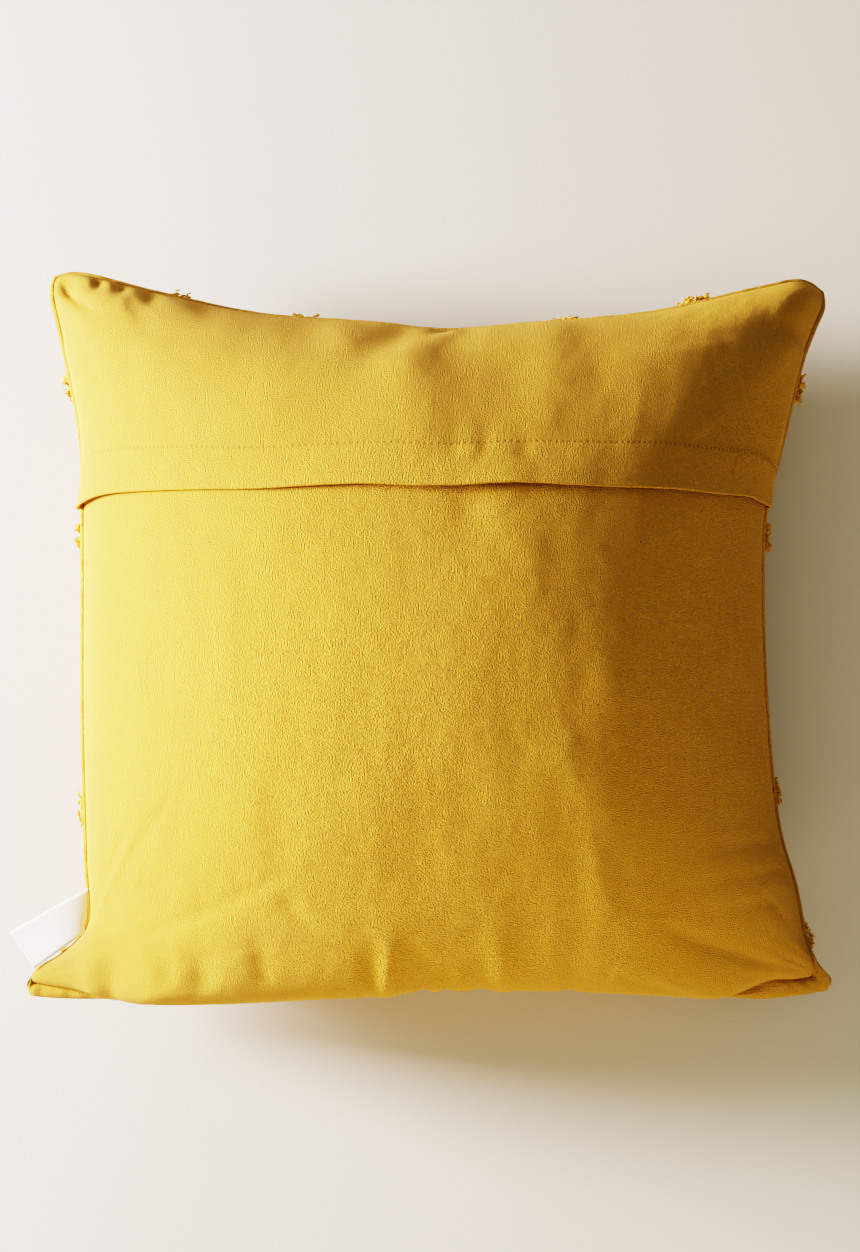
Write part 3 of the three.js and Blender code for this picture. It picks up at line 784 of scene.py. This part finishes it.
def sheet_piece(name, a, b, base, under, over, material):
    """A closed thin sheet over a grid of the back between two heights, with walls round its border."""
    lift = normals(base)
    from_seam = (1 - np.maximum(np.abs(a)[:, None], np.abs(b)[None, :])) * HALF_CLOTH
    rounding = np.sqrt(1 - (1 - np.clip(from_seam / EDGE_ROUND, 0, 1)) ** 2)
    top = base + lift * (over * rounding - SEAM_SINK * (1 - rounding))[..., None]
    bottom = base + lift * (under * rounding - (SEAM_SINK + CLEARANCE) * (1 - rounding))[..., None]
    top_numbers = np.arange(len(a) * len(b)).reshape(len(a), len(b))
    low_numbers = top_numbers + len(a) * len(b)
    faces = [
        cells(top_numbers), cells(low_numbers)[:, ::-1], strip(border(low_numbers), border(top_numbers)),
    ]
    map_x, map_y = np.meshgrid(a * HALF_CLOTH, b * HALF_CLOTH, indexing="ij")
    cloth_map = np.tile(np.stack([map_x, map_y], axis=-1).reshape(-1, 2), (2, 1))
    points = np.concatenate([top.reshape(-1, 3), bottom.reshape(-1, 3)])
    piece = new_piece(name, points, np.vstack(faces), cloth_map)
    piece.data.materials.append(material)
    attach(piece, "root")
    return piece, top


lower_lines = np.concatenate([-1 + EDGE_LINES, np.linspace(-INNER_LINE, lower_place, LOWER_LINES)])
low = np.full((len(sides), len(lower_lines)), CLEARANCE)
lower_panel, _ = sheet_piece(
    "lower_back_cotton", sides, lower_lines, back_surface(sides, lower_lines), low, low + CLOTH,
    yellow_cotton,
)
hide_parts("lower_back_panel")

hem_lines = np.linspace(edge_place + 0.012, stitch_place - 0.008, HEM_LINES)
stitch_lines = stitch_place + np.array([-0.005, -0.0025, 0, 0.0025, 0.005])
above_lines = np.linspace(stitch_place + 0.009, INNER_LINE, ABOVE_LINES)
flap_lines = np.concatenate(
    [edge_place + EDGE_LINES, hem_lines, stitch_lines, above_lines, 1 - EDGE_LINES[::-1]]
)
below_row = np.clip((stitch_place - flap_lines) / (stitch_place - edge_place), 0, 1)
above_row = 1 - soft_step((flap_lines - stitch_place) / ROW_SAG_FADE)
hem_sag, row_sag = (np.interp(sides, *np.transpose(sag)) * MM for sag in (HEM_SAG, ROW_SAG))
sag = np.outer(hem_sag, below_row) + np.outer(row_sag, (1 - below_row) * above_row)
flap_base = back_surface(sides, flap_lines)
lower_base = back_surface(sides, flap_lines - SAG_STEP / HALF_CLOTH)
flap_base += (sag / SAG_STEP)[..., None] * (lower_base - flap_base)

in_hem = 1 - soft_step((flap_lines - stitch_place) / HEM_TURN)
over_lower = 1 - soft_step((flap_lines - lower_place) / LAP_FADE)
from_edge = (flap_lines - edge_place) * HALF_CLOTH
hem_round = np.sqrt(1 - (1 - np.clip(from_edge / HEM_ROUND, 0, 1)) ** 2)
loose = EDGE_LIFT * (1 + EDGE_WAVE * np.sin(5 * sides + 1))
lifted = np.outer(loose, np.exp(-from_edge / EDGE_LIFT_REACH))
beneath = CLEARANCE + over_lower * (CLOTH + CLEARANCE) + lifted
thickness = CLOTH + in_hem * (HEM_CLOTH - CLOTH)
off_row = (flap_lines - stitch_place) * HALF_CLOTH
groove = ROW_GROOVE * np.exp(-((off_row / ROW_GROOVE_WIDTH) ** 2))
above = beneath + thickness * (0.5 + 0.5 * hem_round) - groove
off_tack = np.abs(sides - TACK_PLACE) * HALF_CLOTH
along_tack = -off_row
in_tack = soft_step((along_tack - TACK_START) / TACK_END) * soft_step((TACK_LENGTH - along_tack) / TACK_END)
above -= TACK_GROOVE * np.outer(np.exp(-((off_tack / TACK_WIDTH) ** 2)), in_tack)
hem_cotton = cotton("hemmed_cotton", COTTON_COLOUR, stitch_row=stitch_place * HALF_CLOTH)
flap, flap_top = sheet_piece("flap_cotton", sides, flap_lines, flap_base, beneath, above, hem_cotton)
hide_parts("upper_back_panel")

# Stitches: one row through the flap's hem, and a short tack that holds its right end. Each stitch
# arches over the cloth and dives in at both ends.
STITCH_LENGTH = 2.4 * MM
STITCH_RADIUS = 0.24 * MM
STITCH_RINGS = np.linspace(-1, 1, 7)
ROW_END = 0.965
TACK_STITCHES = 4
TUBE_SIDES = 8
STITCH_ARCH = (1.2, 2.6)
TUBE_CAP = np.array([[0, 1, 2, 3], [0, 3, 4, 7], [4, 5, 6, 7]])


def length_of(vectors):
    """Lengths of vectors in an array's last axis, which stays."""
    return np.linalg.norm(vectors, axis=-1, keepdims=True)


def tubes(paths, radii, aside):
    """Closed tubes round paths, an array of strands by rings by 3, with radii by strand, ring and side.

    aside is a vector for each path, roughly across its run, from which the sides are counted.
    """
    run = np.gradient(paths, axis=1)
    first = np.cross(run, aside[:, None])
    second = np.cross(run, first)
    first, second = first / length_of(first), second / length_of(second)
    angle = np.arange(TUBE_SIDES)[:, None] * 2 * np.pi / TUBE_SIDES
    ring = first[:, :, None] * np.cos(angle) + second[:, :, None] * np.sin(angle)
    points = paths[:, :, None] + radii[..., None] * ring
    numbers = np.arange(points[..., 0].size).reshape(points.shape[:3])
    turned = np.roll(numbers, -1, axis=2)
    walls = np.stack([numbers[:, :-1], turned[:, :-1], turned[:, 1:], numbers[:, 1:]], axis=-1)
    faces = [walls.reshape(-1, 4)]
    for cap in TUBE_CAP:
        faces += [numbers[:, -1, cap], numbers[:, 0, cap[::-1]]]
    return points.reshape(-1, 3), np.vstack(faces)


def row_of_stitches(line, up, cloth, middles):
    """Stitch paths along a line of points, whose places on the cloth are known, around their middles."""
    at = middles[:, None] + STITCH_RINGS * STITCH_LENGTH / 2
    over = [np.interp(at, cloth, line[:, axis]) for axis in range(3)]
    outwards = [np.interp(at, cloth, up[:, axis]) for axis in range(3)]
    top, drop = STITCH_ARCH
    height = STITCH_RADIUS * (top - drop * STITCH_RINGS**2)
    return np.stack(over, axis=-1) + np.stack(outwards, axis=-1) * height[:, None]


flap_up = normals(flap_top)
row = int(np.argmin(np.abs(flap_lines - stitch_place)))
stitches_a_half = int(ROW_END * HALF_CLOTH / STITCH_PITCH)
middles = (np.arange(-stitches_a_half, stitches_a_half) + 0.5) * STITCH_PITCH
paths = [row_of_stitches(flap_top[:, row], flap_up[:, row], sides * HALF_CLOTH, middles)]
column = int(np.argmin(np.abs(sides - TACK_PLACE)))
tacks = stitch_place * HALF_CLOTH - (np.arange(TACK_STITCHES) + 1) * STITCH_LENGTH
paths.append(row_of_stitches(flap_top[column], flap_up[column], flap_lines * HALF_CLOTH, tacks))
paths = np.concatenate(paths)
aside = np.tile(np.array([0.3, 0.2, 1.0]), (len(paths), 1))
stitch_points, stitch_faces = tubes(paths, np.full(paths.shape[:2] + (TUBE_SIDES,), STITCH_RADIUS), aside)
stitches = new_piece("flap_stitches", stitch_points, stitch_faces)

YARN_COLOUR = (0.82, 0.45, 0.08, 1)
SPUN_TONE = 0.7
SPUN_HEIGHT = 0.35 * MM


def spun(name, colour, scale):
    """Spun thread: matt, a little hairy and mottled, by the piece's own places."""
    paint = Paint(name)
    place = paint.node("TexCoord", {}, {}, output=3)
    mottle = paint.node("TexNoise", {}, {"Vector": place, "Scale": scale, "Detail": 2.0})
    stops = [(0.35, toned(colour, SPUN_TONE)), (0.65, colour)]
    shade = paint.node("ValToRGB", {"stops": stops}, {"Fac": mottle})
    bump = paint.node("Bump", {}, {"Height": mottle * SPUN_HEIGHT, "Distance": 1.0, "Strength": 1.0})
    return paint.finish(Base_Color=shade, Normal=bump, Roughness=0.9, Specular_IOR_Level=0.2)


yellow_thread = spun("yellow_thread", YARN_COLOUR, 900.0)
stitches.data.materials.append(yellow_thread)
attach(stitches, "root")

# Label: a white woven ribbon, sewn in the left seam near the bottom, with its free end turned under. It
# comes out of the groove, crosses the welt and leans towards the ear.
LABEL_ROOT = (-141, -166)
LABEL_TIP = np.array([(-237, -165.5, 49), (-223.5, -186.5, 47)]) * MM
LABEL_CLOTH = 0.28 * MM
LABEL_FOLD = 0.36 * MM
LABEL_WIDTH = 25 * MM
LABEL_LENGTH = 48 * MM
LABEL_TURNED = 3.5 * MM
LABEL_ARCH = 2.6 * MM
LABEL_CURL = 0.5 * MM
LABEL_CREASE = 0.12 * MM
LABEL_CREASE_PLACE = 0.93
LABEL_CREASE_WIDTH = 0.012

left_seam = sides_of_cover["left"][100:]
root_heights = np.array(LABEL_ROOT) * MM
roots = np.stack([np.interp(root_heights, left_seam[:, 1], part) for part in left_seam.T], axis=-1)
roots = roots + shift + np.array([ROLL_WIDTH, 0, ROLL_RISE / 2])
tips = LABEL_TIP + shift
turned_at = LABEL_LENGTH + LABEL_FOLD * np.pi
label_end = turned_at + LABEL_TURNED
run = np.concatenate([
    np.linspace(0, LABEL_LENGTH, 45), np.linspace(LABEL_LENGTH, turned_at, 8)[1:],
    np.linspace(turned_at, label_end, 5)[1:],
])
turn = np.clip((run - LABEL_LENGTH) / LABEL_FOLD, 0, np.pi)
out = np.minimum(run, LABEL_LENGTH) + LABEL_FOLD * np.sin(turn) - np.maximum(0, run - turned_at)
level = LABEL_FOLD * (np.cos(turn) - 1)
facing = np.stack([np.sin(turn), np.cos(turn)], axis=-1)
wide = np.linspace(0, 1, 13)


def label_grid(side):
    """The ribbon's face on one side of its middle, as a grid of places along and across it."""
    along = (out + side * LABEL_CLOTH / 2 * facing[:, 0]) / LABEL_LENGTH
    height = level + side * LABEL_CLOTH / 2 * facing[:, 1]
    along, across = np.meshgrid(along, wide, indexing="ij")
    root = roots[0] + across[..., None] * (roots[1] - roots[0])
    tip = tips[0] + across[..., None] * (tips[1] - tips[0])
    places = root + along[..., None] * (tip - root)
    rise = LABEL_ARCH * np.sin(np.pi * np.minimum(1, np.maximum(0, along)) ** 0.6)
    rise += LABEL_CURL * (2 * across - 1) ** 2 * along
    rise -= LABEL_CREASE * np.exp(-(((along - LABEL_CREASE_PLACE) / LABEL_CREASE_WIDTH) ** 2))
    places[..., 2] += height[:, None] + rise
    return places


upper, lower = label_grid(1), label_grid(-1)
upper_numbers = np.arange(upper[..., 0].size).reshape(upper.shape[:2])
lower_numbers = upper_numbers + upper_numbers.size
label_faces = [
    cells(upper_numbers)[:, ::-1], cells(lower_numbers),
    strip(border(upper_numbers), border(lower_numbers)),
]
label_map = np.stack(np.meshgrid(run, wide * LABEL_WIDTH, indexing="ij"), axis=-1).reshape(-1, 2)
label = new_piece(
    "folded_label", np.concatenate([upper.reshape(-1, 3), lower.reshape(-1, 3)]), np.vstack(label_faces),
    np.tile(label_map, (2, 1)),
)


def satin(name, colour):
    """Fine white satin ribbon in its own cloth map."""
    paint = Paint(name)
    cloth = paint.node("UVMap", {"uv_map": "cloth"}, {})
    threads = paint.node("Mapping", {}, {"Vector": cloth, "Scale": (900, 3500, 1)})
    weave = paint.node("TexNoise", {"noise_dimensions": "2D"}, {"Vector": threads, "Scale": 1.0})
    bump = paint.node("Bump", {}, {"Height": weave * (0.05 * MM), "Distance": 1.0, "Strength": 1.0})
    return paint.finish(Base_Color=colour, Normal=bump, Roughness=0.5, Specular_IOR_Level=0.4)


label.data.materials.append(satin("white_satin", (0.90, 0.90, 0.92, 1)))
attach(label, "root")
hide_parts("side_label")

# Tufts: two clumps of cut, curly two-ply yarn each, in a grid on the front. Those next to the seams
# peek over them, but not at the bottom and behind the label. The others lie in their dimples and are
# pressed by what the cushion lies on.
CLUMP_STRANDS = 15
YARN_STEPS = np.linspace(0, 1, 13)
YARN_RADIUS = 0.55 * MM
YARN_LENGTH = 11 * MM
CLUMP_SPACING = 3.4 * MM
CLUMP_RADIUS = 3.6 * MM
CURL_RADIUS = 1.5 * MM
PLY_DEPTH = 0.26
PLY_TURNS = 13
LEAN_GROWTH = 1.4
DROOP = 0.25
TIP_RADIUS = 0.6
ROOT_DEPTH = 0.8 * MM
RESTING_SPREAD = 0.6 * MM
# Least and most of each strand's share of the length, its curl's phase and turns, and its two leans.
STRANDS = {
    "length": (0.6, 1.05),
    "phase": (0, 2 * np.pi),
    "turns": (1.6, 3.2),
    "lean_side": (-0.2, 0.35),
    "lean_over": (-0.3, 0.3),
}
BEHIND_LABEL = "tuft_0_1"
EDGE_RISE = 9 * MM
EDGE_FLATNESS = 0.3
FLOOR_ROOM = 0.35 * MM

front_out = -normals(body_front)
yarn = spun("yellow_yarn", YARN_COLOUR, 700.0)
for name in tuft_names:
    low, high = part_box(name)
    middle = np.array((low + high) / 2)
    peeks = low.z > DIMPLE_DEPTH and name != BEHIND_LABEL and not name.endswith("_0")
    middle[2] += EDGE_RISE if peeks else 0
    nearest = np.argmin(((body_front - middle) ** 2).sum(axis=-1))
    seat, outwards = body_front.reshape(-1, 3)[nearest], front_out.reshape(-1, 3)[nearest]
    sideways = np.array([-outwards[1], outwards[0], 0])
    if peeks:
        outwards = outwards * [1, 1, EDGE_FLATNESS]
    elif low.z < FLOOR_ROOM:
        outwards, sideways = np.array([0, 0, -1.0]), np.array([1.0, 0, 0])
    outwards, sideways = outwards / length_of(outwards), sideways / length_of(sideways)
    across = np.cross(outwards, sideways)
    clump = np.repeat([-1.0, 1.0], CLUMP_STRANDS)[:, None]
    strands = len(clump)
    t = YARN_STEPS[None, :]
    drawn = chance.uniform(*np.transpose(list(STRANDS.values())), (strands, len(STRANDS)))
    length, phase, turns, lean_side, lean_over = drawn.T[..., None]
    root_side, root_over = chance.normal(0, CLUMP_RADIUS / 2, (2, strands, 1))
    reach = length * YARN_LENGTH * t**LEAN_GROWTH
    curl = CURL_RADIUS * np.minimum(1, 3 * t)
    side = clump * (CLUMP_SPACING + lean_side * reach) + root_side
    side = side + curl * np.cos(2 * np.pi * turns * t + phase)
    over = root_over + lean_over * reach + curl * np.sin(2 * np.pi * turns * t + phase)
    forth = length * YARN_LENGTH * (t - DROOP * t**2) - ROOT_DEPTH
    middles = seat + side[..., None] * sideways + over[..., None] * across + forth[..., None] * outwards
    lowest = FLOOR_ROOM + YARN_RADIUS * (1 + PLY_DEPTH)
    middles[..., 2] = np.maximum(middles[..., 2], lowest + RESTING_SPREAD * t * np.cos(phase) ** 2)
    corners = np.arange(TUBE_SIDES) * 2 * np.pi / TUBE_SIDES
    ply = 1 + PLY_DEPTH * np.cos(2 * corners - PLY_TURNS * t[..., None] + phase[..., None])
    taper = np.minimum(1, TIP_RADIUS + (1 - t) * 6)[..., None]
    yarn_points, yarn_faces = tubes(middles, YARN_RADIUS * ply * taper, np.tile(across, (strands, 1)))
    tuft = new_piece(name.replace("tuft", "yarn"), yarn_points, yarn_faces)
    tuft.data.materials.append(yarn)
    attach(tuft, "root")
    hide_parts(name)

# Camera at the photo's angle to the back: almost straight down on it, from the bottom edge's side.
CAMERA_ELEVATION = np.radians(80)
CAMERA_DISTANCE = 1.691
LOOKED_AT = Vector(shift) + Vector((0, 7.9 * MM, 60 * MM))
toward_camera = Vector((0, -np.cos(CAMERA_ELEVATION), np.sin(CAMERA_ELEVATION)))
camera = bpy.data.objects.new("camera", bpy.data.cameras.new("camera"))
bpy.context.scene.collection.objects.link(camera)
camera.data.lens = 85
camera.data.sensor_width = 36
camera.location = LOOKED_AT + CAMERA_DISTANCE * toward_camera
camera.rotation_euler = toward_camera.to_track_quat("Z", "Y").to_euler()
bpy.context.scene.camera = camera

# Floor and light: a plain pale floor, a warm key light that rakes over the back from its left side, a
# weak warm bounce at the bottom edge, and a soft warm fill from all round.
KEY_ELEVATION = np.radians(14)
KEY_TURN = np.radians(7.5)
KEY_DISTANCE = 1.5
KEY_SIZE = 0.4
KEY_WATTS = 123
KEY_TARGET = (0, 0, 0.05)
KEY_COLOUR = (1, 0.89, 0.80)
BOUNCE_PLACE = (0.05, -1.6, 0.2)
BOUNCE_TARGET = (0, -0.1, 0.06)
BOUNCE_SIZE = 0.8
BOUNCE_WATTS = 21
BOUNCE_COLOUR = (1, 0.80, 0.5)
FILL_COLOUR = (1, 0.94, 0.62, 1)
FILL_STRENGTH = 0.325
FLOOR_HALF = 3
FLOOR_DROP = 0.3 * MM
FLOOR_COLOUR = (0.67, 0.635, 0.635, 1)

floor_corners = np.array([(-1, -1), (1, -1), (1, 1), (-1, 1)]) * FLOOR_HALF
floor_points = np.column_stack([floor_corners, np.full(len(floor_corners), -FLOOR_DROP)])
floor = new_piece("floor", floor_points, np.array([[0, 1, 2, 3]]))
floor_paint = Paint("pale_floor")
floor.data.materials.append(floor_paint.finish(Base_Color=FLOOR_COLOUR, Roughness=0.9))


def area_light(name, place, target, size, watts, colour):
    """A square soft light that faces a target."""
    light = bpy.data.objects.new(name, bpy.data.lights.new(name, "AREA"))
    light.data.shape = "SQUARE"
    light.data.size = size
    light.data.energy = watts
    light.data.color = colour
    light.location = place
    light.rotation_euler = (Vector(place) - Vector(target)).to_track_quat("Z", "Y").to_euler()
    bpy.context.scene.collection.objects.link(light)


key_way = Vector((
    -np.cos(KEY_ELEVATION) * np.cos(KEY_TURN), np.cos(KEY_ELEVATION) * np.sin(KEY_TURN),
    np.sin(KEY_ELEVATION),
))
area_light("key", key_way * KEY_DISTANCE, KEY_TARGET, KEY_SIZE, KEY_WATTS, KEY_COLOUR)
area_light("bounce", BOUNCE_PLACE, BOUNCE_TARGET, BOUNCE_SIZE, BOUNCE_WATTS, BOUNCE_COLOUR)
world = bpy.data.worlds.new("room")
world.use_nodes = True
background = world.node_tree.nodes["Background"]
background.inputs["Color"].default_value = FILL_COLOUR
background.inputs["Strength"].default_value = FILL_STRENGTH
bpy.context.scene.world = world
bpy.context.scene.view_settings.view_transform = "Filmic"
bpy.context.scene.view_settings.look = "Very High Contrast"
